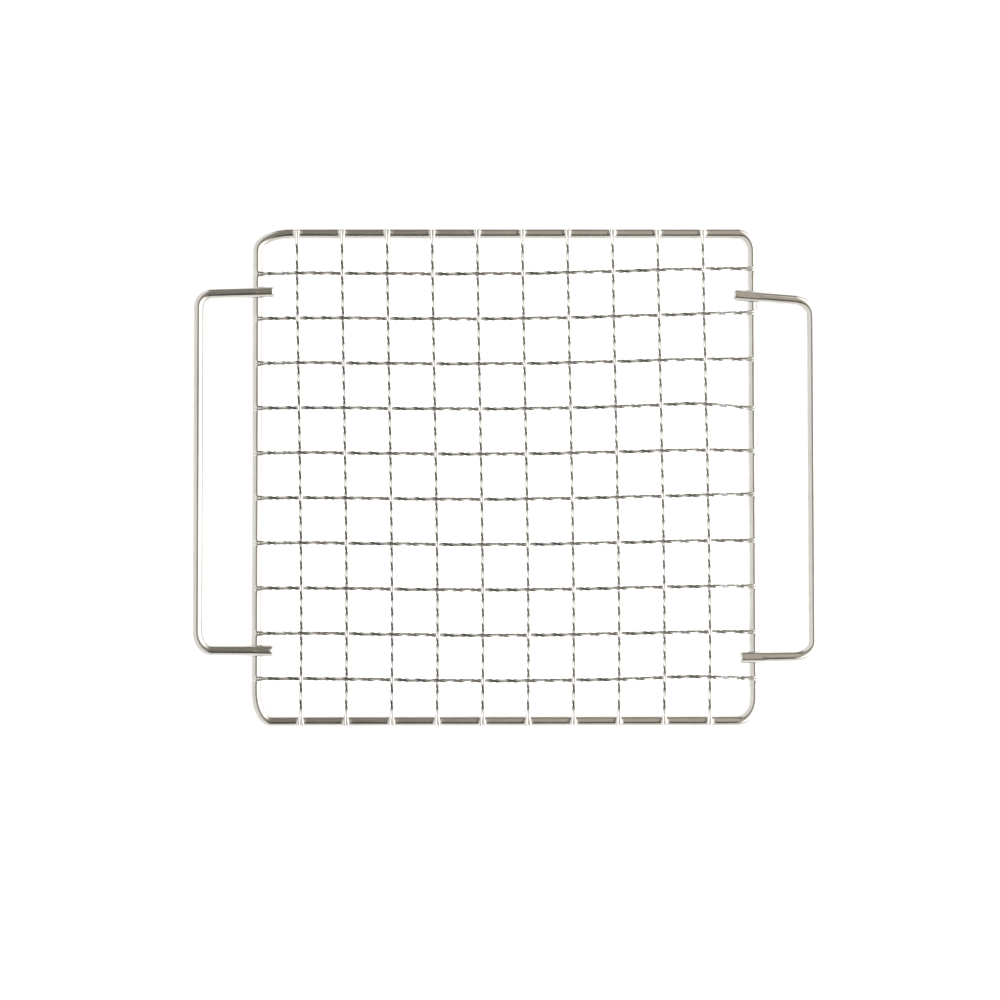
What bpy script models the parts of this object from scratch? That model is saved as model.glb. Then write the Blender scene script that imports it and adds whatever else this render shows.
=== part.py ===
"""Woven wire grilling net of a hibachi, with a bow handle welded on each side.

A closed ring of round rod carries ten warp wires and ten weft wires. Each wire is a pair
of strands twisted together. The wires pass over and under one another, and their ends are
welded on top of the ring. Two bent rod handles are welded across its side rods.

Metres, +Z up. The origin is under the middle of the net, on the surface it lies on, +X
runs from handle to handle, and the warp wires run along Y.
"""

import math

import bpy

MM = 0.001

# Round rod of the ring and the handles. Its twelve flats stand ROD_RADIUS from its axis.
ROD_RADIUS = 2.0 * MM
ROD_SIDES = 12
WELD_GAP = 0.1 * MM

# Ring: half sizes to the rod's axis, and how far each bend reaches along X and along Y.
RING_HALF_X = 88.0 * MM
RING_HALF_Y = 86.5 * MM
RING_BENDS = {
    "right_back": (5.1 * MM, 6.6 * MM),
    "left_back": (11.9 * MM, 5.9 * MM),
    "left_front": (5.1 * MM, 10.8 * MM),
    "right_front": (6.2 * MM, 8.3 * MM),
}
BEND_STEPS = 8

# Handles: the grip's distance from the middle, and for the back and the front leg the inner
# end (x, y), the y at which the leg would meet the grip, and the reach of the bend (x, y).
GRIP_X = 108.5 * MM
LEG_HEIGHT = 3.0 * ROD_RADIUS + WELD_GAP
HANDLES = {
    "handle_left": {
        "side": -1,
        "back": (81.6 * MM, 65.2 * MM, 64.4 * MM, 4.7 * MM, 4.5 * MM),
        "front": (81.8 * MM, -61.6 * MM, -61.5 * MM, 5.0 * MM, 6.8 * MM),
    },
    "handle_right": {
        "side": 1,
        "back": (80.8 * MM, 64.1 * MM, 61.9 * MM, 5.8 * MM, 5.2 * MM),
        "front": (82.4 * MM, -64.1 * MM, -63.7 * MM, 7.0 * MM, 5.2 * MM),
    },
}

# Twisted pairs. A strand's section is a diamond inside the round strand, and a quarter turn
# apart two such strands just clear each other.
WIRES = 10
STRAND_RADIUS = 0.36 * MM
TWIST_RADIUS = 0.40 * MM
STRANDS = {"a": 0, "b": 2}

# The weave: pitch, and how far the net is off centre, leaning, bowed and sagging. The
# distance from the middle is counted in half nets, and the wires in pitches.
HALF_NET = 88.0 * MM
MIDDLE_WIRE = (WIRES - 1) / 2
PITCH = 16.01 * MM
WARP_OFFSET = -0.48 * MM
WARP_LEAN = -1.45 * MM
WARP_BOW = -0.55 * MM
WARP_CURL = 0.59 * MM
WEFT_OFFSET = -0.19 * MM
WEFT_LEAN = 0.53 * MM
WEFT_SAG = 2.52 * MM
WEFT_FLAT_ENDS = -1.6 * MM
WEFT_FAN = 0.09 * MM
# Weft wires welded a little high or low on the right rod, and the two that arch before it.
WELD_STRAY = {0: -0.3 * MM, 4: 0.4 * MM, 5: -0.4 * MM, 6: -1.4 * MM, 8: 0.5 * MM}
STRAY_FROM_X = 60.0 * MM
ARCHED_WEFTS = (0, 6)
ARCH_RISE = 0.45 * MM
ARCH_X = 64.0 * MM
ARCH_WIDTH = 11.0 * MM

# Heights: the woven net's middle plane, the welded ends, and how far a wire stands off the
# plane at a crossing. A stacked pair on a flat one needs more room than two flat pairs.
NET_HEIGHT = 4.8 * MM
END_HEIGHT = 2.0 * ROD_RADIUS + WELD_GAP + STRAND_RADIUS
CRIMP_STACKED = 0.64 * MM
CRIMP_FLAT = 0.45 * MM

# Quarter turns of twist from one crossing to the next, and where the wires end.
WARP_QUARTERS = 6
WEFT_QUARTERS = 5
WARP_END = 88.2 * MM
WEFT_END_LEFT = -88.4 * MM
WEFT_END_RIGHT = 90.0 * MM
LAST_TWIST = 1.2 * MM
END_SPLAY = 0.62 * MM

ROD_STEEL = {"colour": (0.52, 0.50, 0.47, 1.0), "roughness": 0.28}
WIRE_STEEL = {"colour": (0.60, 0.58, 0.55, 1.0), "roughness": 0.32}


def clear_scene():
    for obj in list(bpy.data.objects):
        bpy.data.objects.remove(obj, do_unlink=True)


def new_collection(name):
    collection = bpy.data.collections.new(name)
    bpy.context.scene.collection.children.link(collection)
    return collection


def steel(name, colour, roughness):
    """Bare stainless steel wire or rod."""
    material = bpy.data.materials.new(name + "_steel")
    material.use_nodes = True
    shader = material.node_tree.nodes["Principled BSDF"]
    shader.inputs["Base Color"].default_value = colour
    shader.inputs["Metallic"].default_value = 1.0
    shader.inputs["Roughness"].default_value = roughness
    material.diffuse_color = colour
    return material


def round_bar(name, path, radius, sides, closed, finish, collection, parent):
    """A bar of regular section along a path whose first point is the object's origin."""
    curve = bpy.data.curves.new(name, "CURVE")
    curve.dimensions = "3D"
    curve.twist_mode = "Z_UP"
    curve.bevel_depth = radius
    curve.bevel_resolution = sides // 2 - 2
    curve.use_fill_caps = True
    spline = curve.splines.new("POLY")
    spline.points.add(len(path) - 1)
    spline.use_cyclic_u = closed
    start = path[0]
    for point, place in zip(spline.points, path):
        local = [value - origin for value, origin in zip(place, start)]
        point.co = (*local, 1.0)
    obj = bpy.data.objects.new(name, curve)
    obj.location = start
    obj.parent = parent
    curve.materials.append(steel(name, **finish))
    collection.objects.link(obj)
    return obj


def unit(start, end):
    length = math.dist(start, end)
    return [(b - a) / length for a, b in zip(start, end)]


def bend(before, corner, after, reach_in, reach_out):
    """A quarter ellipse that leaves one straight run and joins the next."""
    way_in = unit(before, corner)
    way_out = unit(corner, after)
    points = []
    for step in range(BEND_STEPS + 1):
        angle = 0.5 * math.pi * step / BEND_STEPS
        back = reach_in * (1 - math.sin(angle))
        ahead = reach_out * (1 - math.cos(angle))
        points.append([c - back * i + ahead * o for c, i, o in zip(corner, way_in, way_out)])
    return points


def rod(name, path, closed, collection, parent):
    """Rod whose flats lie level, so that it rests on a flat one."""
    half_flat = math.pi / ROD_SIDES
    obj = round_bar(name, path, ROD_RADIUS / math.cos(half_flat), ROD_SIDES, closed,
                    ROD_STEEL, collection, parent)
    for point in obj.data.splines[0].points:
        point.tilt = half_flat
    return obj


def make_ring(collection, parent):
    corners = {
        "right_back": (RING_HALF_X, RING_HALF_Y),
        "left_back": (-RING_HALF_X, RING_HALF_Y),
        "left_front": (-RING_HALF_X, -RING_HALF_Y),
        "right_front": (RING_HALF_X, -RING_HALF_Y),
    }
    names = list(corners)
    path = []
    for index, name in enumerate(names):
        before = corners[names[index - 1]]
        after = corners[names[(index + 1) % len(names)]]
        reach_x, reach_y = RING_BENDS[name]
        comes_along_y = index % 2 == 0
        reaches = (reach_y, reach_x) if comes_along_y else (reach_x, reach_y)
        path += [(x, y, ROD_RADIUS) for x, y in bend(before, corners[name], after, *reaches)]
    rod("frame_ring", path, True, collection, parent)


def make_handle(name, side, back, front, collection, parent):
    back_x, back_y, back_corner_y, back_reach_x, back_reach_y = back
    front_x, front_y, front_corner_y, front_reach_x, front_reach_y = front
    back_end = (side * back_x, back_y)
    back_corner = (side * GRIP_X, back_corner_y)
    front_corner = (side * GRIP_X, front_corner_y)
    front_end = (side * front_x, front_y)
    outline = [back_end]
    outline += bend(back_end, back_corner, front_corner, back_reach_x, back_reach_y)
    outline += bend(back_corner, front_corner, front_end, front_reach_y, front_reach_x)
    outline.append(front_end)
    path = [(x, y, LEG_HEIGHT) for x, y in outline]
    rod(name, path, False, collection, parent)


def warp_x(wire, y):
    """X of a warp wire, which leans and bows a little on its way along Y."""
    v = y / HALF_NET
    lean = WARP_LEAN * v + WARP_BOW * v**2 + WARP_CURL * v**3
    return PITCH * (wire - MIDDLE_WIRE) + WARP_OFFSET + lean


def weft_y(wire, x):
    """Y of a weft wire. A wire number may be a fraction, for places between two wires."""
    u = x / HALF_NET
    sag = WEFT_SAG * u**2 + WEFT_FLAT_ENDS * u**4
    fan = WEFT_FAN * (wire - MIDDLE_WIRE) * u
    return PITCH * (wire - MIDDLE_WIRE) + WEFT_OFFSET + WEFT_LEAN * u + sag + fan


def stray_y(wire, x):
    """What a badly placed weld or an arch adds to a weft wire's y near the right rod."""
    along = min(max((x - STRAY_FROM_X) / (HALF_NET - STRAY_FROM_X), 0.0), 1.0)
    stray = WELD_STRAY.get(wire, 0.0) * along**2
    if wire in ARCHED_WEFTS:
        stray += ARCH_RISE * math.exp(-(((x - ARCH_X) / ARCH_WIDTH) ** 2))
    return stray


def net_point(warp, weft):
    """Where a warp wire and a weft wire cross, or would cross if there were one there."""
    x = PITCH * (warp - MIDDLE_WIRE)
    y = PITCH * (weft - MIDDLE_WIRE)
    for _ in range(4):
        x, y = warp_x(warp, y), weft_y(weft, x)
    return x, y


def warp_passes_over(warp, weft):
    return (warp + weft) % 2 == 0


def crimp(warp, weft):
    """Height of a warp wire above the net's plane at a crossing; the weft's is opposite."""
    return CRIMP_FLAT if warp_passes_over(warp, weft) else -CRIMP_STACKED


def height_between(heights, place):
    """Height at a place counted in crossings, easing from one crossing to the next."""
    last = len(heights) - 1
    low = min(max(math.floor(place), 0), last)
    high = min(low + 1, last) if place > 0 else 0
    ease = 0.5 - 0.5 * math.cos(math.pi * min(max(place - low, 0.0), 1.0))
    woven = heights[low] + (heights[high] - heights[low]) * ease
    outside = max(-place, place - last, 0.0)
    fade = 0.5 + 0.5 * math.cos(math.pi * min(outside, 1.0))
    end = END_HEIGHT - NET_HEIGHT
    return NET_HEIGHT + end + (woven - end) * fade


def across(turn, strand):
    """Which side of its pair's middle a strand is on after so many quarter turns."""
    return round(math.cos(0.5 * math.pi * (turn + STRANDS[strand])))


def above(turn, strand):
    return round(math.sin(0.5 * math.pi * (turn + STRANDS[strand])))


def strand_path(along, quarters, point_at, heights, turn_at_first, ends, tips, strand):
    """Twisted stretch from the first flat quarter turn to the last, run out to two flat tips.

    along is 0 for a wire that runs on X and 1 for one on Y. The same turn towards + then
    gives the weft a Z lay and the warp an S lay, which keeps the net flat.
    """
    low_end, high_end = ends
    twist = []
    for step in range(-2 * quarters, (WIRES + 2) * quarters):
        place = step / quarters
        centre = [*point_at(place), height_between(heights, place)]
        if low_end + LAST_TWIST < centre[along] < high_end - LAST_TWIST:
            twist.append((turn_at_first + step, centre))
    while twist[0][0] % 2:
        del twist[0]
    while twist[-1][0] % 2:
        del twist[-1]
    path = []
    for turn, centre in twist:
        centre[1 - along] += across(turn, strand) * TWIST_RADIUS
        centre[2] += above(turn, strand) * TWIST_RADIUS
        path.append(centre)
    for end, middle, (turn, _) in ((low_end, tips[0], twist[0]), (high_end, tips[1], twist[-1])):
        tip = [0.0, 0.0, END_HEIGHT]
        tip[along] = end
        tip[1 - along] = middle + across(turn, strand) * END_SPLAY
        path.insert(0 if end == low_end else len(path), tip)
    return path


def warp_path(warp, strand):
    heights = [crimp(warp, weft) for weft in range(WIRES)]
    tips = (warp_x(warp, -WARP_END), warp_x(warp, WARP_END))
    return strand_path(1, WARP_QUARTERS, lambda weft: net_point(warp, weft), heights, 0,
                       (-WARP_END, WARP_END), tips, strand)


def weft_path(weft, strand):
    def point_at(warp):
        x, y = net_point(warp, weft)
        return x, y + stray_y(weft, x)

    heights = [-crimp(warp, weft) for warp in range(WIRES)]
    tips = (weft_y(weft, WEFT_END_LEFT), weft_y(weft, WEFT_END_RIGHT) + stray_y(weft, HALF_NET))
    turn_at_first = 0 if warp_passes_over(0, weft) else 1
    return strand_path(0, WEFT_QUARTERS, point_at, heights, turn_at_first,
                       (WEFT_END_LEFT, WEFT_END_RIGHT), tips, strand)


def make_wires(collection, parent):
    for kind, path_of in (("warp", warp_path), ("weft", weft_path)):
        for wire in range(WIRES):
            for strand in STRANDS:
                name = f"{kind}_{wire + 1:02d}_strand_{strand}"
                round_bar(name, path_of(wire, strand), STRAND_RADIUS, 4, False,
                          WIRE_STEEL, collection, parent)


def main():
    clear_scene()
    collection = new_collection("hibachi_grill_net")
    root = bpy.data.objects.new("net_root", None)
    collection.objects.link(root)
    make_ring(collection, root)
    for name, shape in HANDLES.items():
        make_handle(name, collection=collection, parent=root, **shape)
    make_wires(collection, root)


main()
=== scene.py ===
"""Looks of the hibachi's woven grilling net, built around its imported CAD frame.

Bright drawn steel rod for the ring and the handles, twisted pairs of thin wire for the net,
and the marks that resistance welding leaves where they meet. Metres, +Z up.
"""

import math
import random

import bmesh
import bpy
import numpy as np
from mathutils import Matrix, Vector


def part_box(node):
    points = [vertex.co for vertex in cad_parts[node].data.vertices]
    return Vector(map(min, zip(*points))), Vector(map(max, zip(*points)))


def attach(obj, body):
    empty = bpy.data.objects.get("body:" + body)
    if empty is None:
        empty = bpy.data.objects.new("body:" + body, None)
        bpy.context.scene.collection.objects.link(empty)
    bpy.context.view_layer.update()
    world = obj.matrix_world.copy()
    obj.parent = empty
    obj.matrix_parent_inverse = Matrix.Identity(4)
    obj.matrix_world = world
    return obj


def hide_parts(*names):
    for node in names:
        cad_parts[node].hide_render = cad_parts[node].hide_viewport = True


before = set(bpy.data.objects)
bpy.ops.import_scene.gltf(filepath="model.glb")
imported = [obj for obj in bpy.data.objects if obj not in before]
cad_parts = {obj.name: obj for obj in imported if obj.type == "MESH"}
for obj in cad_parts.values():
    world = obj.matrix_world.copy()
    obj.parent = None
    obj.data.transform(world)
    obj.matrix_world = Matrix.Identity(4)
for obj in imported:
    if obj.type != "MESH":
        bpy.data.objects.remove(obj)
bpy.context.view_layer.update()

MM = 0.001
QUARTER = 0.5 * math.pi

# Sizes that the frame gives.
RING_LOW, RING_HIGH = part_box("frame_ring")
ROD_RADIUS = (RING_HIGH.z - RING_LOW.z) / 2
RING_HALF_X = (RING_HIGH.x - RING_LOW.x) / 2 - ROD_RADIUS
RING_HALF_Y = (RING_HIGH.y - RING_LOW.y) / 2 - ROD_RADIUS
RING_HEIGHT = (RING_HIGH.z + RING_LOW.z) / 2
GRIP_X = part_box("handle_right")[1].x - ROD_RADIUS
LEG_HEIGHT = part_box("handle_right")[1].z - ROD_RADIUS

# Ring bends: how far each reaches along X and along Y. The rod's ends meet on the left side.
RING_BENDS = {
    "left_front": (5.1 * MM, 10.8 * MM),
    "right_front": (6.2 * MM, 8.3 * MM),
    "right_back": (5.1 * MM, 6.6 * MM),
    "left_back": (11.9 * MM, 5.9 * MM),
}
BUTT_WELD_Y = -1.3 * MM
BEND_STEPS = 12
ROD_SIDES = 36
ROD_FACE_LENGTH = 0.55 * MM
STATION_SPACING = 11.0 * MM

# Handle legs: inner end (x, y), the y at which the leg would meet the grip, reach of the bend
# (x, y), depth of the electrode's flat, where that flat stops, and the slant of the sheared end.
HANDLES = {
    "handle_left": {
        "side": -1,
        "back": {"end": (81.6 * MM, 65.2 * MM), "corner_y": 64.4 * MM,
                 "reach": (4.7 * MM, 4.5 * MM), "flat": 0.10 * MM, "flat_to": 86.6 * MM,
                 "slant": 11.0},
        "front": {"end": (81.8 * MM, -61.6 * MM), "corner_y": -61.5 * MM,
                  "reach": (5.0 * MM, 6.8 * MM), "flat": 0.12 * MM, "flat_to": 87.0 * MM,
                  "slant": -4.0},
    },
    "handle_right": {
        "side": 1,
        "back": {"end": (80.8 * MM, 64.1 * MM), "corner_y": 61.9 * MM,
                 "reach": (5.8 * MM, 5.2 * MM), "flat": 0.13 * MM, "flat_to": 89.6 * MM,
                 "slant": 9.0},
        "front": {"end": (82.4 * MM, -64.1 * MM), "corner_y": -63.7 * MM,
                  "reach": (7.0 * MM, 5.2 * MM), "flat": 0.15 * MM, "flat_to": 90.0 * MM,
                  "slant": 10.0},
    },
}
CUT_CHAMFER = 0.45 * MM
CUT_SHRINK = 0.80
CUT_RUN = 1.5 * MM
FLAT_FADE = 2.2 * MM
FLAT_SPREAD = 0.40

# The net: ten twisted pairs each way, and how they lean, bow and sag, as in the frame.
WIRES = 10
MIDDLE_WIRE = (WIRES - 1) / 2
HALF_NET = 88.0 * MM
PITCH = 16.01 * MM
WARP_OFFSET = -0.48 * MM
WARP_LEAN = -1.45 * MM
WARP_BOW = -0.55 * MM
WARP_CURL = 0.59 * MM
WEFT_OFFSET = -0.19 * MM
WEFT_LEAN = 0.53 * MM
WEFT_SAG = 2.52 * MM
WEFT_FLAT_ENDS = -1.6 * MM
WEFT_FAN = 0.09 * MM
WELD_STRAY = {0: -0.3 * MM, 4: 0.4 * MM, 5: -0.4 * MM, 6: -1.4 * MM, 8: 0.5 * MM}
STRAY_FROM_X = 60.0 * MM
ARCHED_WEFTS = (0, 6)
ARCH_RISE = 0.45 * MM
ARCH_X = 64.0 * MM
ARCH_WIDTH = 11.0 * MM

# Strands: they touch along the pair's middle. Flat rolls left a flat on every crest of the
# twist, and the crests' dark grey is painted shade. Crimps let the crossing pairs just touch.
STRAND_RADIUS = 0.36 * MM
STRAND_SIDES = 16
STEPS_PER_QUARTER = 6
ROLLED_HALF = 0.47 * MM
ROLLED_FROM = 0.60
ROLLED_FADE = 0.22
NET_HEIGHT = 4.8 * MM
CRIMP_STACKED = 0.40 * MM
CRIMP_FLAT = 0.35 * MM

# Each wire's layout in quarter turns: how many there are from one crossing to the next, before
# the first and after the last, the phase of the first crossing, how far along the wire the
# twist sits from its crossings, and how much wider the rolls squashed its crests.
WARP_LAY = {"quarters": 6, "before": 4, "after": 4, "turn": 0, "slip": 0.0, "squash": 0.12}
WEFT_LAYS = ({"quarters": 5, "before": 4, "after": 5, "turn": 0, "slip": 0.7 * MM, "squash": 0.30},
             {"quarters": 5, "before": 5, "after": 4, "turn": 1, "slip": 0.7 * MM, "squash": 0.30})

# Welded wire ends: where the twist stops short of the rod, how far the strands then run, how
# they spread, how flat the electrode leaves them and how deep they sink into the rod.
UNLAY_GAP = 0.8 * MM
WARP_END = 87.9 * MM
WEFT_END_LEFT = -88.5 * MM
WEFT_END_RIGHT = 89.9 * MM
END_STEPS = 4
END_SPREAD = 0.60 * MM
END_WIDEN = 1.34
END_FLATTEN = 0.72
END_SINK = 0.12 * MM
END_DROOP = 0.5
END_ROUNDING = ((0.05, 0.86), (0.03, 0.6))
WARP_BURNS = (0.24, 0.24)
WEFT_BURNS = (0.30, 0.62)
WIRE_BURN_REACH = 2.4 * MM

# Weld marks on the ring: how far a wire's weld sits inwards or outwards of the rod's axis, how
# high its mound is, and how strongly it is burnt, least and most. Mounds and burns fade out
# over their reaches.
WIRE_WELDS = {
    "warp": {"shift": -0.3 * MM, "raise": 0.34 * MM, "burn": (0.16, 0.28)},
    "weft_left": {"shift": 0.6 * MM, "raise": 0.30 * MM, "burn": (0.18, 0.32)},
    "weft_right": {"shift": -0.7 * MM, "raise": 0.42 * MM, "burn": (0.60, 0.9)},
}
MOUND_LENGTH = 0.95 * MM
MOUND_WIDTH = 1.25 * MM
BURN_REACH = 1.9 * MM
LEG_BURN = 0.3
LEG_BURN_ON_RING = 3.4 * MM
LEG_BURN_ON_LEG = 3.2 * MM
LEG_WELD_REACH = 1.25 * MM
LEG_WELD_FADE = 0.7 * MM
LEG_WELD_DEPTH = 0.4 * MM
LEG_WELD_OVERLAP = 0.08 * MM
BUTT_BEAD = 0.10 * MM
BUTT_BEAD_REACH = 0.5 * MM
BUTT_BURN = 0.95
BUTT_BURN_REACH = 0.8 * MM


# ---------------------------------------------------------------- working in edit mode


def deselect_all():
    for obj in bpy.context.selected_objects:
        obj.select_set(False)


def edit(obj):
    deselect_all()
    obj.select_set(True)
    bpy.context.view_layer.objects.active = obj
    bpy.ops.object.mode_set(mode="EDIT")


def done():
    bpy.ops.object.mode_set(mode="OBJECT")


def settle(obj):
    """Takes the object's place and turn into its mesh."""
    deselect_all()
    obj.select_set(True)
    bpy.context.view_layer.objects.active = obj
    bpy.ops.object.transform_apply(location=True, rotation=True, scale=True)


def circle(name, sides, radius, place, turn, fill):
    deselect_all()
    bpy.ops.mesh.primitive_circle_add(vertices=sides, radius=radius, fill_type=fill,
                                      location=place, rotation=turn)
    obj = bpy.context.object
    obj.name = name
    obj.data.name = name
    settle(obj)
    return obj


def points_of(mesh):
    flat = np.empty(len(mesh.vertices) * 3)
    mesh.vertices.foreach_get("co", flat)
    return flat.reshape(-1, 3)


def move_points(mesh, points):
    mesh.vertices.foreach_set("co", points.ravel())
    mesh.update()


def write_attribute(mesh, name, kind, values):
    attribute = mesh.attributes.get(name) or mesh.attributes.new(name, kind, "POINT")
    field = "vector" if kind == "FLOAT_VECTOR" else "value"
    attribute.data.foreach_set(field, np.asarray(values, np.float32).ravel())


def ease(share):
    share = np.clip(share, 0.0, 1.0)
    return share * share * (3.0 - 2.0 * share)


def hump(distance, reach):
    return np.exp(-((distance / reach) ** 2))


# ---------------------------------------------------------------- rods: paths and sweeping


def unit(start, end):
    return (end - start).normalized()


def bend(before, corner, after, reach_in, reach_out):
    """A quarter ellipse that leaves one straight run and joins the next."""
    way_in = unit(before, corner)
    way_out = unit(corner, after)
    points = []
    for step in range(BEND_STEPS + 1):
        angle = QUARTER * step / BEND_STEPS
        back = reach_in * (1 - math.sin(angle))
        ahead = reach_out * (1 - math.cos(angle))
        points.append(corner - back * way_in + ahead * way_out)
    return points


def ring_path():
    """From the butt weld on the left rod, front bends first, back to the butt weld."""
    x, y = RING_HALF_X, RING_HALF_Y
    corners = {"left_front": Vector((-x, -y)), "right_front": Vector((x, -y)),
               "right_back": Vector((x, y)), "left_back": Vector((-x, y))}
    names = list(corners)
    seam = Vector((-x, BUTT_WELD_Y))
    path = [seam]
    for index, name in enumerate(names):
        before = corners[names[index - 1]]
        after = corners[names[(index + 1) % len(names)]]
        reach_x, reach_y = RING_BENDS[name]
        reaches = (reach_y, reach_x) if index % 2 == 0 else (reach_x, reach_y)
        path += bend(before, corners[name], after, *reaches)
    return path + [seam]


def handle_path(side, back, front):
    ends = {}
    corners = {}
    for name, leg in (("back", back), ("front", front)):
        ends[name] = Vector((side * leg["end"][0], leg["end"][1]))
        corners[name] = Vector((side * GRIP_X, leg["corner_y"]))
    path = [ends["back"]]
    path += bend(ends["back"], corners["back"], corners["front"], *back["reach"])
    path += bend(corners["back"], corners["front"], ends["front"], *reversed(front["reach"]))
    return path + [ends["front"]]


def headings(path):
    """The way the rod faces at each point: halfway between its runs in and out."""
    runs = [unit(a, b) for a, b in zip(path, path[1:])]
    ways = [runs[0]]
    ways += [(a + b).normalized() for a, b in zip(runs, runs[1:])]
    ways.append(runs[-1])
    return [math.atan2(way.y, way.x) for way in ways]


def turn_by(angle, axis, place):
    """Turns what is selected about a point; the operator counts angles the other way."""
    bpy.ops.transform.rotate(value=-angle, orient_axis=axis, center_override=place)


def sweep_on(path, height):
    """Extrudes the selected end from the first point of the path along all the others."""
    ways = headings(path)
    for index in range(1, len(path)):
        step = path[index] - path[index - 1]
        turn = math.remainder(ways[index] - ways[index - 1], 2 * math.pi)
        bpy.ops.mesh.extrude_region_move(TRANSFORM_OT_translate={"value": (step.x, step.y, 0)})
        turn_by(turn, "Z", (path[index].x, path[index].y, height))


def with_stations(path):
    """The same path with its long straight runs cut into nearly equal steps."""
    points = [path[0]]
    for start, end in zip(path, path[1:]):
        steps = max(1, round((end - start).length / STATION_SPACING))
        points += [start.lerp(end, step / steps) for step in range(1, steps + 1)]
    return points


def cut_straight_runs():
    """Cuts every step of the straight runs across, so that weld marks have faces to shape."""
    obj = bpy.context.object
    bpy.ops.mesh.select_all(action="DESELECT")
    bpy.ops.mesh.select_mode(type="EDGE")
    mesh = bmesh.from_edit_mesh(obj.data)
    for edge in mesh.edges:
        edge.select_set(edge.calc_length() > 0.4 * STATION_SPACING)
    bmesh.update_edit_mesh(obj.data)
    bpy.ops.mesh.subdivide(number_cuts=round(STATION_SPACING / ROD_FACE_LENGTH) - 1)


def straighten(points, path, height):
    """Along, across (left of the way it runs) and above, as if the rod were pulled straight."""
    line = np.array([[p.x, p.y] for p in path])
    starts = line[:-1]
    steps = line[1:] - starts
    lengths = np.linalg.norm(steps, axis=1)
    offsets = np.concatenate([[0.0], np.cumsum(lengths)[:-1]])
    reach = points[:, None, :2] - starts[None]
    share = np.clip((reach * steps).sum(2) / lengths**2, 0.0, 1.0)
    away = np.linalg.norm(reach - share[..., None] * steps, axis=2)
    nearest = away.argmin(1)
    row = np.arange(len(points))
    side = steps[nearest, 0] * reach[row, nearest, 1] - steps[nearest, 1] * reach[row, nearest, 0]
    along = offsets[nearest] + share[row, nearest] * lengths[nearest]
    across = np.sign(side) * away[row, nearest]
    return np.stack([along, across, points[:, 2] - height], axis=1)


def radial(points, path, height):
    """Unit directions straight out from the rod's centreline."""
    line = np.array([[p.x, p.y] for p in path])
    starts = line[:-1]
    steps = line[1:] - starts
    reach = points[:, None, :2] - starts[None]
    share = np.clip((reach * steps).sum(2) / (steps**2).sum(1), 0.0, 1.0)
    feet = starts[None] + share[..., None] * steps
    away = np.linalg.norm(points[:, None, :2] - feet, axis=2)
    foot = feet[np.arange(len(points)), away.argmin(1)]
    out = np.column_stack([points[:, :2] - foot, points[:, 2] - height])
    return out / np.maximum(np.linalg.norm(out, axis=1, keepdims=True), 1e-9)


# ---------------------------------------------------------------- the net's lines


def warp_x(wire, y):
    """X of a warp wire, which leans and bows a little on its way along Y."""
    v = y / HALF_NET
    lean = WARP_LEAN * v + WARP_BOW * v**2 + WARP_CURL * v**3
    return PITCH * (wire - MIDDLE_WIRE) + WARP_OFFSET + lean


def weft_y(wire, x):
    """Y of a weft wire with its stray near the right rod."""
    u = x / HALF_NET
    sag = WEFT_SAG * u**2 + WEFT_FLAT_ENDS * u**4
    fan = WEFT_FAN * (wire - MIDDLE_WIRE) * u
    along = np.clip((x - STRAY_FROM_X) / (HALF_NET - STRAY_FROM_X), 0.0, 1.0)
    stray = WELD_STRAY.get(wire, 0.0) * along**2
    if wire in ARCHED_WEFTS:
        stray = stray + ARCH_RISE * hump(x - ARCH_X, ARCH_WIDTH)
    return PITCH * (wire - MIDDLE_WIRE) + WEFT_OFFSET + WEFT_LEAN * u + sag + fan + stray


def crossing(warp, weft):
    x = PITCH * (warp - MIDDLE_WIRE)
    y = PITCH * (weft - MIDDLE_WIRE)
    for _ in range(4):
        x, y = warp_x(warp, y), weft_y(weft, x)
    return float(x), float(y)


def warp_passes_over(warp, weft):
    return (warp + weft) % 2 == 0


def crimp(warp, weft):
    """Height of a warp wire above the net's plane at a crossing; the weft's is opposite."""
    return CRIMP_FLAT if warp_passes_over(warp, weft) else -CRIMP_STACKED


# ---------------------------------------------------------------- welds


def wire_welds():
    """Every welded wire end: its place on the ring, and how strongly it was burnt and squeezed."""
    pick = random.Random(11)
    welds = []
    for wire in range(WIRES):
        x, y = RING_HALF_X, RING_HALF_Y
        places = (("warp", float(warp_x(wire, -y)), -y), ("warp", float(warp_x(wire, y)), y),
                  ("weft_left", -x, float(weft_y(wire, -x))),
                  ("weft_right", x, float(weft_y(wire, x))))
        for kind, *at in places:
            weld = WIRE_WELDS[kind]
            welds.append({**weld, "at": at, "burn": pick.uniform(*weld["burn"])})
    return welds


def leg_crossings():
    """Where the handle legs lie across the ring."""
    places = []
    for shape in HANDLES.values():
        for leg in (shape["back"], shape["front"]):
            end_x, end_y = leg["end"]
            share = (RING_HALF_X - end_x) / (GRIP_X - end_x)
            y = end_y + share * (leg["corner_y"] - end_y)
            places.append((shape["side"] * RING_HALF_X, y))
    return places


def weld_relief(place, at, weld):
    """How far a wire weld lifts the rod's skin, and how hot the skin got."""
    along = place[:, 0] - at
    upper = np.clip(place[:, 2] / ROD_RADIUS, 0.0, 1.0)
    mound = hump(along, MOUND_LENGTH) * hump(place[:, 1] - weld["shift"], MOUND_WIDTH) * upper
    burn = weld["burn"] * hump(along, BURN_REACH) * (0.25 + 0.75 * upper)
    return weld["raise"] * mound, burn


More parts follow.
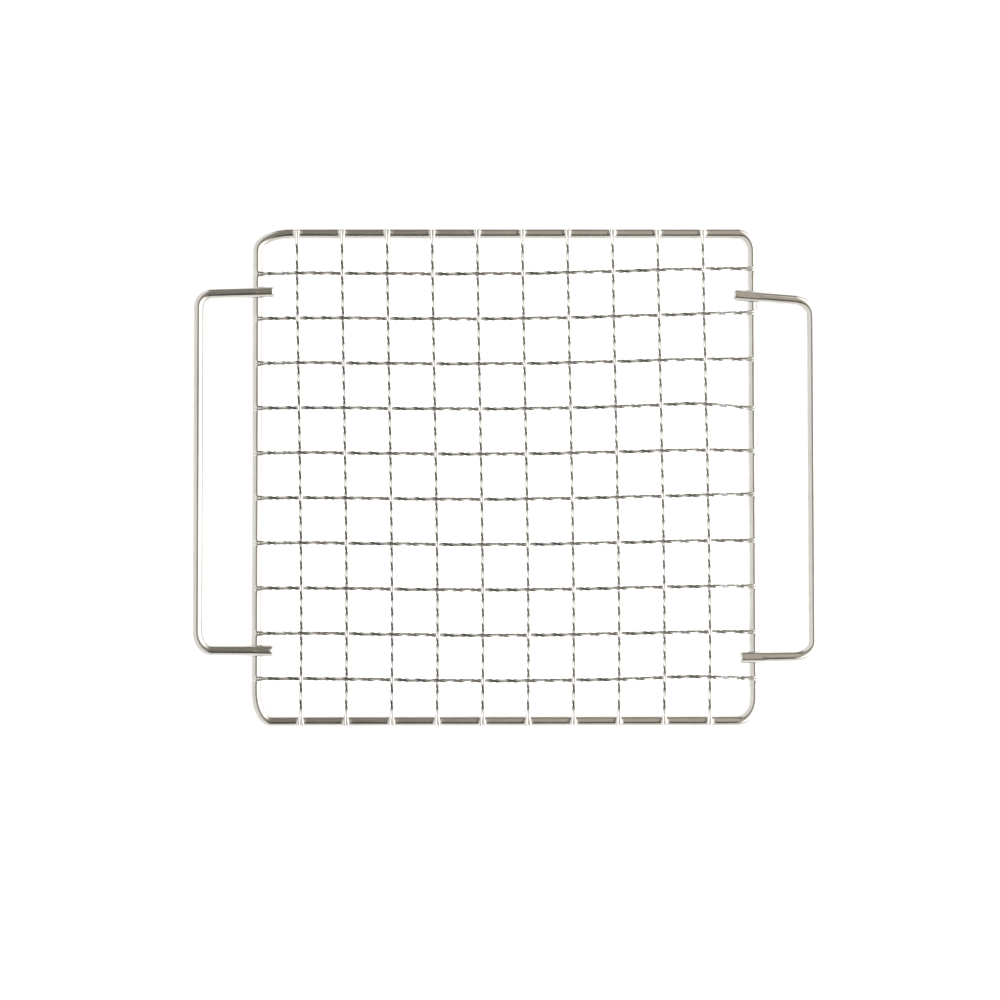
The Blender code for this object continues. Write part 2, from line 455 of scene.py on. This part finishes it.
def crossing_relief(along, across, above, sign):
    """Weld metal drawn up between two rods that cross, which closes the wedge round their touch."""
    near = np.hypot(along, across)
    gap = 2 * ROD_RADIUS - np.sqrt(np.maximum(ROD_RADIUS**2 - along**2, 0.0))
    gap = gap - np.sqrt(np.maximum(ROD_RADIUS**2 - across**2, 0.0))
    facing = np.where(sign * above > 0, 1.0, 0.0)
    fill = np.clip(0.5 * gap + LEG_WELD_OVERLAP, 0.0, LEG_WELD_DEPTH)
    return fill * (1 - ease((near - LEG_WELD_REACH) / LEG_WELD_FADE)) * facing


# ---------------------------------------------------------------- ring and handles


def make_ring():
    path = with_stations(ring_path())
    start = path[0]
    ring = circle("frame_rod", ROD_SIDES, ROD_RADIUS, (start.x, start.y, RING_HEIGHT),
                  (QUARTER, 0.0, 0.0), "NOTHING")
    edit(ring)
    bpy.ops.mesh.select_all(action="SELECT")
    sweep_on(path, RING_HEIGHT)
    bpy.ops.mesh.select_all(action="SELECT")
    bpy.ops.mesh.remove_doubles(threshold=0.01 * MM)
    cut_straight_runs()
    bpy.ops.mesh.select_all(action="SELECT")
    bpy.ops.mesh.normals_make_consistent(inside=False)
    done()
    shape_ring(ring.data, path)
    deselect_all()
    ring.select_set(True)
    bpy.ops.object.shade_smooth()
    return ring


def shape_ring(mesh, path):
    """Weld mounds, the butt weld's bead and heat marks, and the skin's own coordinates."""
    points = points_of(mesh)
    place = straighten(points, path, RING_HEIGHT)
    out = radial(points, path, RING_HEIGHT)
    lift = np.zeros(len(points))
    heat = np.zeros(len(points))
    for weld in wire_welds():
        at = straighten(np.array([[*weld["at"], RING_HEIGHT]]), path, RING_HEIGHT)[0, 0]
        raised, burn = weld_relief(place, at, weld)
        lift = np.maximum(lift, raised)
        heat = np.maximum(heat, burn)
    for x, y in leg_crossings():
        at = straighten(np.array([[x, y, RING_HEIGHT]]), path, RING_HEIGHT)[0, 0]
        along = place[:, 0] - at
        lift = np.maximum(lift, crossing_relief(along, place[:, 1], place[:, 2], 1))
        burn = LEG_BURN * hump(along, LEG_BURN_ON_RING) * (0.4 + 0.6 * (place[:, 2] > 0))
        heat = np.maximum(heat, burn)
    total = place[:, 0].max()
    seam = np.minimum(place[:, 0], total - place[:, 0])
    lift = np.maximum(lift, BUTT_BEAD * hump(seam, BUTT_BEAD_REACH))
    heat = np.maximum(heat, BUTT_BURN * hump(seam, BUTT_BURN_REACH))
    points += out * lift[:, None]
    points[:, 2] = np.maximum(points[:, 2], RING_LOW.z)
    move_points(mesh, points)
    write_attribute(mesh, "rod_place", "FLOAT_VECTOR", place)
    write_attribute(mesh, "heat", "FLOAT", heat)


def slanted_end(place, way, slant, grow):
    """Leans the selected end face back from square; grow says whether to undo its shrink."""
    bpy.ops.transform.resize(value=(1.0, grow, grow), center_override=place)
    turn_by(way * math.radians(slant), "Y", place)


def make_handle(name, side, back, front):
    path = handle_path(side, back, front)
    first, last = path[0], path[-1]
    way = side
    rod = circle(name + "_rod", ROD_SIDES, ROD_RADIUS, (first.x, first.y, LEG_HEIGHT),
                 (QUARTER, 0.0, headings(path)[0] + QUARTER), "NGON")
    edit(rod)
    bpy.ops.mesh.select_all(action="SELECT")
    slanted_end((first.x, first.y, LEG_HEIGHT), way, back["slant"], CUT_SHRINK)
    inner = path[0] + CUT_CHAMFER * unit(path[0], path[1])
    squared = path[0] + CUT_RUN * unit(path[0], path[1])
    step = inner - path[0]
    bpy.ops.mesh.extrude_region_move(TRANSFORM_OT_translate={"value": (step.x, step.y, 0)})
    bpy.ops.transform.resize(value=(1.0, 1 / CUT_SHRINK, 1 / CUT_SHRINK),
                             center_override=(inner.x, inner.y, LEG_HEIGHT))
    step = squared - inner
    bpy.ops.mesh.extrude_region_move(TRANSFORM_OT_translate={"value": (step.x, step.y, 0)})
    turn_by(-way * math.radians(back["slant"]), "Y", (squared.x, squared.y, LEG_HEIGHT))
    squared_last = path[-1] - CUT_RUN * unit(path[-2], path[-1])
    sweep_on(with_stations([squared, *path[1:-1], squared_last]), LEG_HEIGHT)
    step = path[-1] - CUT_CHAMFER * unit(path[-2], path[-1]) - squared_last
    bpy.ops.mesh.extrude_region_move(TRANSFORM_OT_translate={"value": (step.x, step.y, 0)})
    edge = squared_last + step
    turn_by(way * math.radians(front["slant"]), "Y", (edge.x, edge.y, LEG_HEIGHT))
    step = path[-1] - edge
    bpy.ops.mesh.extrude_region_move(TRANSFORM_OT_translate={"value": (step.x, step.y, 0)})
    bpy.ops.transform.resize(value=(1.0, CUT_SHRINK, CUT_SHRINK),
                             center_override=(last.x, last.y, LEG_HEIGHT))
    cut_straight_runs()
    bpy.ops.mesh.select_all(action="SELECT")
    bpy.ops.mesh.normals_make_consistent(inside=False)
    done()
    shape_handle(rod.data, path, (back, front))
    deselect_all()
    rod.select_set(True)
    bpy.ops.object.shade_smooth_by_angle(angle=math.radians(35))
    return rod


def shape_handle(mesh, path, legs):
    """The electrode's flats on the legs, the weld metal under them and the heat marks."""
    points = points_of(mesh)
    place = straighten(points, path, LEG_HEIGHT)
    heat = np.zeros(len(points))
    for leg in legs:
        end_x, end_y = leg["end"]
        on_leg = np.abs(points[:, 1] - end_y) < 4 * ROD_RADIUS
        reach = np.abs(points[:, 0])
        pressed = on_leg * (1 - ease((reach - leg["flat_to"]) / FLAT_FADE))
        above = points[:, 2] - LEG_HEIGHT
        share = np.clip((above - ROD_RADIUS + 2 * leg["flat"]) / (2 * leg["flat"]), 0.0, 1.0)
        flat = ROD_RADIUS - 2 * leg["flat"] + leg["flat"] * (1 - (1 - share) ** 2)
        lowered = np.where(share > 0, np.minimum(flat, above), above)
        points[:, 2] += pressed * (lowered - above)
        middle = end_y + (reach - end_x) / (GRIP_X - end_x) * (leg["corner_y"] - end_y)
        points[:, 1] += pressed * (points[:, 1] - middle) * FLAT_SPREAD * leg["flat"] / ROD_RADIUS
        along = reach - RING_HALF_X
        drawn = crossing_relief(points[:, 1] - middle, along, above, -1) * on_leg
        points[:, 2] -= drawn
        burn = LEG_BURN * hump(along, LEG_BURN_ON_LEG) * (0.3 + 0.7 * (above < 0))
        heat = np.maximum(heat, on_leg * burn)
    move_points(mesh, points)
    write_attribute(mesh, "rod_place", "FLOAT_VECTOR", place)
    write_attribute(mesh, "heat", "FLOAT", heat)


# ---------------------------------------------------------------- twisted strands


def quarter_length(lay):
    return PITCH / lay["quarters"]


def quarters_in(lay):
    return lay["before"] + (WIRES - 1) * lay["quarters"] + lay["after"]


def make_strand(name, lay):
    """One strand wound round the X axis, then run out straight and flattened at both ends."""
    length = quarter_length(lay)
    count = quarters_in(lay)
    strand = circle(name, STRAND_SIDES, STRAND_RADIUS, (0.0, STRAND_RADIUS, 0.0),
                    (0.0, QUARTER, 0.0), "NOTHING")
    helix = math.atan(QUARTER * STRAND_RADIUS / length)
    edit(strand)
    bpy.ops.mesh.select_all(action="SELECT")
    bpy.ops.transform.resize(value=(1.0, 1.0, 1.0 / math.cos(helix)),
                             center_override=(0.0, STRAND_RADIUS, 0.0))
    done()
    wind = strand.modifiers.new("wind", "SCREW")
    wind.axis = "X"
    wind.angle = count * QUARTER
    wind.screw_offset = count * length
    wind.steps = wind.render_steps = count * STEPS_PER_QUARTER
    wind.use_smooth_shade = True
    bpy.ops.object.modifier_apply(modifier=wind.name)
    edit(strand)
    bpy.ops.mesh.select_mode(type="VERT")
    for end, way in ((0.0, -1), (count * length, 1)):
        side = 1.0 if end == 0.0 or count % 4 == 0 else -1.0
        run_out_end(strand, end, way, side, length)
    bpy.ops.mesh.select_all(action="SELECT")
    bpy.ops.mesh.normals_make_consistent(inside=False)
    done()
    label_strand(strand.data, lay)
    return strand


def run_out_end(strand, end, way, side, length):
    """Runs an open end straight on: the strand leaves its pair, widens and flattens."""
    bpy.ops.mesh.select_all(action="DESELECT")
    mesh = bmesh.from_edit_mesh(strand.data)
    for vertex in mesh.verts:
        vertex.select_set(abs(vertex.co.x - end) < 0.001 * MM)
    mesh.select_flush(True)
    bmesh.update_edit_mesh(strand.data)
    middle = STRAND_RADIUS
    widen = END_WIDEN ** (1 / END_STEPS)
    flatten = END_FLATTEN ** (1 / END_STEPS)
    for step in range(1, END_STEPS + 1):
        spread = STRAND_RADIUS + (END_SPREAD - STRAND_RADIUS) * step / END_STEPS
        bpy.ops.mesh.extrude_region_move(TRANSFORM_OT_translate={
            "value": (way * length / END_STEPS, side * (spread - middle), 0.0)})
        middle = spread
        bpy.ops.transform.resize(value=(1.0, widen, flatten),
                                 center_override=(end, side * middle, 0.0))
    for inset, shrink in END_ROUNDING:
        bpy.ops.mesh.extrude_region_move(TRANSFORM_OT_translate={
            "value": (way * length * inset, 0.0, 0.0)})
        bpy.ops.transform.resize(value=(1.0, shrink, shrink),
                                 center_override=(end, side * middle, 0.0))
    bpy.ops.mesh.edge_face_add()


def label_strand(mesh, lay):
    """Gives the skin coordinates that stay with the wire: along it, and round its section."""
    points = points_of(mesh)
    length = quarter_length(lay)
    wound = np.clip(points[:, 0] / length, 0.0, quarters_in(lay))
    angle = wound * QUARTER
    y = points[:, 1] * np.cos(angle) + points[:, 2] * np.sin(angle) - STRAND_RADIUS
    z = points[:, 2] * np.cos(angle) - points[:, 1] * np.sin(angle)
    write_attribute(mesh, "rod_place", "FLOAT_VECTOR", np.stack([points[:, 0], y, z], 1))


def eased(place, knots, values):
    """Values at places between knots, easing in and out of each knot."""
    low = np.clip(np.searchsorted(knots, place, side="right") - 1, 0, len(knots) - 2)
    share = np.clip((place - knots[low]) / (knots[low + 1] - knots[low]), 0.0, 1.0)
    return values[low] + (values[low + 1] - values[low]) * (0.5 - 0.5 * np.cos(math.pi * share))


def end_height(beyond):
    """Height of a welded end's middle, a distance beyond the rod's axis; it follows the rod."""
    top = 2 * ROD_RADIUS + STRAND_RADIUS * END_FLATTEN - END_SINK
    reach = ROD_RADIUS + STRAND_RADIUS * END_FLATTEN - END_SINK
    past = np.clip(beyond, 0.0, 0.95 * reach)
    return top - END_DROOP * (reach - np.sqrt(reach**2 - past**2))


def lay_strand(pattern, name, lay, strand, run):
    """A copy of the pattern strand, laid along its own wire and down on to the rods.

    The run says which way the wire goes: the axis it runs along, its crossings, its crimps,
    its sideways line, its unlay points and its tips, and the rods' axes at its ends.
    """
    copy = pattern.copy()
    copy.data = pattern.data.copy()
    copy.name = copy.data.name = name
    bpy.context.scene.collection.objects.link(copy)
    pick = random.Random(name)
    length = quarter_length(lay)
    count = quarters_in(lay)
    points = points_of(copy.data)
    local = points[:, 0]
    side = round(math.cos(QUARTER * (lay["turn"] - lay["before"] + strand)))
    knots = [-length, 0.0]
    knots += [(lay["before"] + k * lay["quarters"]) * length for k in range(WIRES)]
    knots += [count * length, (count + 1) * length]
    knots = np.array(knots)
    tips = [run["tips"][0] + pick.uniform(-0.2, 0.25) * MM,
            run["tips"][1] - pick.uniform(-0.1, 0.3) * MM]
    crossings = np.array(run["crossings"])
    stops = np.array([tips[0], run["unlay"][0], *(crossings + lay["slip"]), run["unlay"][1],
                      tips[1]])
    slope_low = (stops[1] - stops[0]) / length
    along = np.interp(local, knots, stops)
    along = np.where(local < knots[0], stops[0] + (local - knots[0]) * slope_low, along)
    along = np.where(local > knots[-1], stops[-1] + (local - knots[-1]) * 0.8, along)
    rest = end_height(0.0)
    crimps = NET_HEIGHT + np.array(run["crimps"])
    heights = np.array([rest, rest, *crimps, rest, rest])
    bends = np.array([tips[0], run["unlay"][0], *crossings, run["unlay"][1], tips[1]])
    height = eased(along, bends, heights)
    for rod, way in zip(run["rods"], (-1, 1)):
        beyond = way * (along - rod)
        height = height - np.where(beyond > 0, rest - end_height(beyond), 0.0)
    loosen = [pick.uniform(0.8, 1.15), pick.uniform(0.8, 1.15)]
    free_low = np.clip(-local / length, 0.0, 1.0)
    free_high = np.clip((local - count * length) / length, 0.0, 1.0)
    sideways = points[:, 1] * (1 + (loosen[0] - 1) * free_low + (loosen[1] - 1) * free_high)
    moved = np.empty_like(points)
    moved[:, run["axis"]] = along
    moved[:, 1 - run["axis"]] = run["line"](along) + side * sideways
    above = side * points[:, 2]
    # The crest mask both widens the rolled flats and marks where the finish paints shade on the
    # crests.
    crest = np.abs(np.sin(QUARTER * np.clip(local / length, 0.0, count)))
    rolled_flat_and_painted_shade = ease((crest - ROLLED_FROM) / ROLLED_FADE)
    moved[:, 1 - run["axis"]] += lay["squash"] * side * sideways * rolled_flat_and_painted_shade
    moved[:, 2] = height + np.clip(above, -ROLLED_HALF, ROLLED_HALF)
    move_points(copy.data, moved)
    if run["axis"] == 1:
        copy.data.flip_normals()
    heat = np.zeros(len(points))
    for rod, burn in zip(run["rods"], run["burns"]):
        heat = np.maximum(heat, burn * hump(along - rod, WIRE_BURN_REACH))
    write_attribute(copy.data, "heat", "FLOAT", heat)
    write_attribute(copy.data, "rolled_flat_and_painted_shade", "FLOAT", rolled_flat_and_painted_shade)
    deselect_all()
    copy.select_set(True)
    bpy.context.view_layer.objects.active = copy
    bpy.ops.object.shade_smooth_by_angle(angle=math.radians(34))
    return copy


def warp_run(wire):
    edge = RING_HALF_Y - ROD_RADIUS - UNLAY_GAP
    return {
        "axis": 1,
        "crossings": [crossing(wire, weft)[1] for weft in range(WIRES)],
        "crimps": [crimp(wire, weft) for weft in range(WIRES)],
        "line": lambda y: warp_x(wire, y),
        "unlay": (-edge, edge),
        "tips": (-WARP_END, WARP_END),
        "rods": (-RING_HALF_Y, RING_HALF_Y),
        "burns": WARP_BURNS,
    }


def weft_run(wire):
    edge = RING_HALF_X - ROD_RADIUS - UNLAY_GAP
    return {
        "axis": 0,
        "crossings": [crossing(warp, wire)[0] for warp in range(WIRES)],
        "crimps": [-crimp(warp, wire) for warp in range(WIRES)],
        "line": lambda x: weft_y(wire, x),
        "unlay": (-edge, edge),
        "tips": (WEFT_END_LEFT, WEFT_END_RIGHT),
        "rods": (-RING_HALF_X, RING_HALF_X),
        "burns": WEFT_BURNS,
    }


def make_net(finish):
    patterns = {"warp": make_strand("warp_pattern", WARP_LAY)}
    for index, lay in enumerate(WEFT_LAYS):
        patterns[f"weft_{index}"] = make_strand(f"weft_pattern_{index}", lay)
    for wire in range(WIRES):
        weft_kind = wire % 2
        kinds = (("warp", "warp", WARP_LAY, warp_run(wire)),
                 ("weft", f"weft_{weft_kind}", WEFT_LAYS[weft_kind], weft_run(wire)))
        for kind, pattern, lay, run in kinds:
            for letter, strand in (("a", 0), ("b", 2)):
                name = f"{kind}_wire_{wire + 1:02d}_{letter}"
                piece = lay_strand(patterns[pattern], name, lay, strand, run)
                piece.data.materials.append(finish)
                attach(piece, "root")
                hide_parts(f"{kind}_{wire + 1:02d}_strand_{letter}")
    for pattern in patterns.values():
        bpy.data.objects.remove(pattern, do_unlink=True)


# ---------------------------------------------------------------- finishes

# Painted shade: the dark grey that the strands' rolled crests are mixed towards, far darker than
# the steel itself.
CREST_PAINTED_SHADE_GREY = (0.27, 0.265, 0.26, 1.0)


def node(tree, kind, inputs, **settings):
    made = tree.nodes.new("ShaderNode" + kind)
    for key, value in settings.items():
        setattr(made, key, value)
    for key, value in inputs.items():
        if isinstance(value, bpy.types.NodeSocket):
            tree.links.new(value, made.inputs[key])
        else:
            made.inputs[key].default_value = value
    return made


def ramp(tree, factor, stops):
    made = node(tree, "ValToRGB", {"Fac": factor})
    elements = made.color_ramp.elements
    while len(elements) < len(stops):
        elements.new(0.5)
    for element, (position, colour) in zip(elements, stops):
        element.position = position
        element.color = (*colour, 1.0)
    return made.outputs["Color"]


def drawn_steel(name, bright, dull, streak_width, smooth, rough, grain):
    """Drawn stainless steel: lengthwise die marks, cloudy tone, heat colours at the welds, and
    painted shade darkening the strands' rolled crests.
    """
    material = bpy.data.materials.new(name)
    material.use_nodes = True
    tree = material.node_tree
    shader = tree.nodes["Principled BSDF"]
    place = node(tree, "Attribute", {}, attribute_name="rod_place").outputs["Vector"]
    heat = node(tree, "Attribute", {}, attribute_name="heat").outputs["Fac"]
    object_place = node(tree, "TexCoord", {}).outputs["Object"]

    stretched = node(tree, "Mapping", {"Vector": place, "Scale": (
        70.0, 1 / streak_width, 1 / streak_width)}).outputs["Vector"]
    streaks = node(tree, "TexNoise", {"Vector": stretched, "Scale": 1.0, "Detail": 3.0,
                                      "Roughness": 0.6}).outputs["Fac"]
    clouds = node(tree, "TexNoise", {"Vector": object_place, "Scale": 55.0, "Detail": 2.0}
                  ).outputs["Fac"]
    specks = node(tree, "TexNoise", {"Vector": object_place, "Scale": 900.0, "Detail": 4.0}
                  ).outputs["Fac"]

    tone = node(tree, "Math", {0: streaks, 1: clouds}, operation="ADD").outputs["Value"]
    share = node(tree, "MapRange", {"Value": tone, "From Min": 0.75, "From Max": 1.25}
                 ).outputs["Result"]
    drawn = node(tree, "MixRGB", {"Fac": share, "Color1": (*dull, 1), "Color2": (*bright, 1)}
                 ).outputs["Color"]
    # Painted shade: the rolled crests are mixed towards dark grey, standing in for a darker
    # reflection on them.
    rolled_flat_and_painted_shade = node(tree, "Attribute", {}, attribute_name="rolled_flat_and_painted_shade").outputs["Fac"]
    skin = node(tree, "MixRGB", {"Fac": rolled_flat_and_painted_shade, "Color1": drawn, "Color2": CREST_PAINTED_SHADE_GREY}
                ).outputs["Color"]

    mottle = node(tree, "MapRange", {"Value": specks, "From Min": 0.3, "From Max": 0.7,
                                     "To Min": 0.65, "To Max": 1.35}).outputs["Result"]
    burnt = node(tree, "Math", {0: heat, 1: mottle}, operation="MULTIPLY").outputs["Value"]
    oxide = ramp(tree, burnt, ((0.0, (0.50, 0.45, 0.42)), (0.28, (0.38, 0.31, 0.27)),
                               (0.55, (0.24, 0.155, 0.11)), (0.85, (0.14, 0.08, 0.06))))
    cover = node(tree, "MapRange", {"Value": burnt, "From Min": 0.05, "From Max": 0.4,
                                    "To Max": 0.95}).outputs["Result"]
    colour = node(tree, "MixRGB", {"Fac": cover, "Color1": skin, "Color2": oxide}
                  ).outputs["Color"]

    polish = node(tree, "MapRange", {"Value": streaks, "From Min": 0.3, "From Max": 0.7,
                                     "To Min": smooth, "To Max": rough}).outputs["Result"]
    scale = node(tree, "MapRange", {"Value": burnt, "To Max": 0.3}).outputs["Result"]
    roughness = node(tree, "Math", {0: polish, 1: scale}, operation="ADD").outputs["Value"]
    bump = node(tree, "Bump", {"Height": streaks, "Strength": 0.25, "Distance": grain}
                ).outputs["Normal"]
    tree.links.new(colour, shader.inputs["Base Color"])
    tree.links.new(roughness, shader.inputs["Roughness"])
    tree.links.new(bump, shader.inputs["Normal"])
    shader.inputs["Metallic"].default_value = 1.0
    return material


# ---------------------------------------------------------------- table, cards, light, camera

CEILING = 3.0
CAMERA_TILT = 2.64
CAMERA_SWING = -0.42
CAMERA_ROLL = -0.05
CAMERA_DISTANCE = 1.0
CAMERA_AIM = (-1.9 * MM, -8.25 * MM, 0.0)
CAMERA_LENS = 101.4


def plain(name, colour, glow):
    material = bpy.data.materials.new(name)
    material.use_nodes = True
    shader = material.node_tree.nodes["Principled BSDF"]
    shader.inputs["Base Color"].default_value = (*colour, 1.0)
    shader.inputs["Roughness"].default_value = 0.9
    shader.inputs["Specular IOR Level"].default_value = 0.0
    shader.inputs["Emission Color"].default_value = (1.0, 1.0, 1.0, 1.0)
    shader.inputs["Emission Strength"].default_value = glow
    return material


def make_table():
    """A white light table: lit from above and from within."""
    deselect_all()
    bpy.ops.mesh.primitive_plane_add(size=8.0, location=(0.0, 0.0, -0.02 * MM))
    table = bpy.context.object
    table.name = "light_table"
    table.data.materials.append(plain("table_white", (0.8, 0.8, 0.8), 0.75))
    settle(table)


def make_card(name, corners, glow):
    """A dim glowing card for the steel to mirror: a plane, its corners pulled into place."""
    deselect_all()
    bpy.ops.mesh.primitive_plane_add(size=1.0)
    card = bpy.context.object
    card.name = name
    for vertex, corner in zip(card.data.vertices, corners):
        vertex.co = corner
    material = plain(name + "_glow", (0.0, 0.0, 0.0), 1.0)
    shader = material.node_tree.nodes["Principled BSDF"]
    shader.inputs["Emission Color"].default_value = (*glow, 1.0)
    card.data.materials.append(material)
    card.visible_camera = False


def ceiling(name, left, right, front, back, glow):
    make_card(name, ((left, front, CEILING), (right, front, CEILING),
                     (left, back, CEILING), (right, back, CEILING)), glow)


def make_cards():
    """A ceiling that is dark over the left half, warm over the right, and dimmer to the front."""
    dark, warm, edge = -0.95, -0.05, 0.75
    ceiling("dark_back", dark, warm, -0.6, 4.0, (0.30, 0.28, 0.24))
    ceiling("dark_front", dark, warm, -1.5, -0.6, (0.14, 0.13, 0.115))
    ceiling("dark_far_front", dark, warm, -3.8, -1.5, (0.05, 0.047, 0.04))
    ceiling("warm_back", warm, edge, -0.6, 4.0, (0.66, 0.60, 0.50))
    ceiling("warm_front", warm, edge, -1.5, -0.6, (0.34, 0.30, 0.25))
    ceiling("warm_far_front", warm, edge, -3.8, -1.5, (0.07, 0.065, 0.055))
    make_card("back_wall", ((-1.3, 4.0, CEILING), (1.1, 4.0, CEILING),
                            (-1.3, 4.0, 0.0), (1.1, 4.0, 0.0)), (0.32, 0.295, 0.255))


def soft_box(name, place, aim, width, height, radiance):
    light = bpy.data.lights.new(name, "AREA")
    light.shape = "RECTANGLE"
    light.size = width
    light.size_y = height
    light.energy = radiance * math.pi * width * height
    box = bpy.data.objects.new(name, light)
    bpy.context.scene.collection.objects.link(box)
    box.location = place
    box.rotation_euler = (Vector(aim) - Vector(place)).to_track_quat("-Z", "Y").to_euler()
    box.visible_camera = False


def make_light():
    scene = bpy.context.scene
    world = bpy.data.worlds.new("pale_room")
    world.use_nodes = True
    world.node_tree.nodes["Background"].inputs["Color"].default_value = (1.0, 0.995, 0.98, 1.0)
    world.node_tree.nodes["Background"].inputs["Strength"].default_value = 1.2
    scene.world = world
    soft_box("right_box", (0.85, 0.0, 0.66), (0.0, 0.0, 0.0), 2.0, 1.22, 2.1)


def make_camera():
    data = bpy.data.cameras.new("camera")
    data.lens = CAMERA_LENS
    camera = bpy.data.objects.new("camera", data)
    bpy.context.scene.collection.objects.link(camera)
    camera.rotation_euler = [math.radians(a) for a in (CAMERA_TILT, CAMERA_SWING, CAMERA_ROLL)]
    back = camera.rotation_euler.to_matrix() @ Vector((0.0, 0.0, CAMERA_DISTANCE))
    camera.location = Vector(CAMERA_AIM) + back
    bpy.context.scene.camera = camera


def main():
    make_camera()
    make_table()
    make_cards()
    make_light()
    rod_steel = drawn_steel("drawn_rod_steel", (0.60, 0.585, 0.56), (0.53, 0.515, 0.49),
                            0.30 * MM, 0.10, 0.20, 0.012 * MM)
    wire_steel = drawn_steel("drawn_wire_steel", (0.70, 0.685, 0.66), (0.60, 0.585, 0.565),
                             0.12 * MM, 0.10, 0.18, 0.006 * MM)
    ring = make_ring()
    ring.data.materials.append(rod_steel)
    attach(ring, "root")
    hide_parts("frame_ring")
    for name, shape in HANDLES.items():
        handle = make_handle(name, **shape)
        handle.data.materials.append(rod_steel)
        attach(handle, "root")
        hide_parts(name)
    make_net(wire_steel)
    bpy.context.scene.view_settings.view_transform = "Standard"


main()
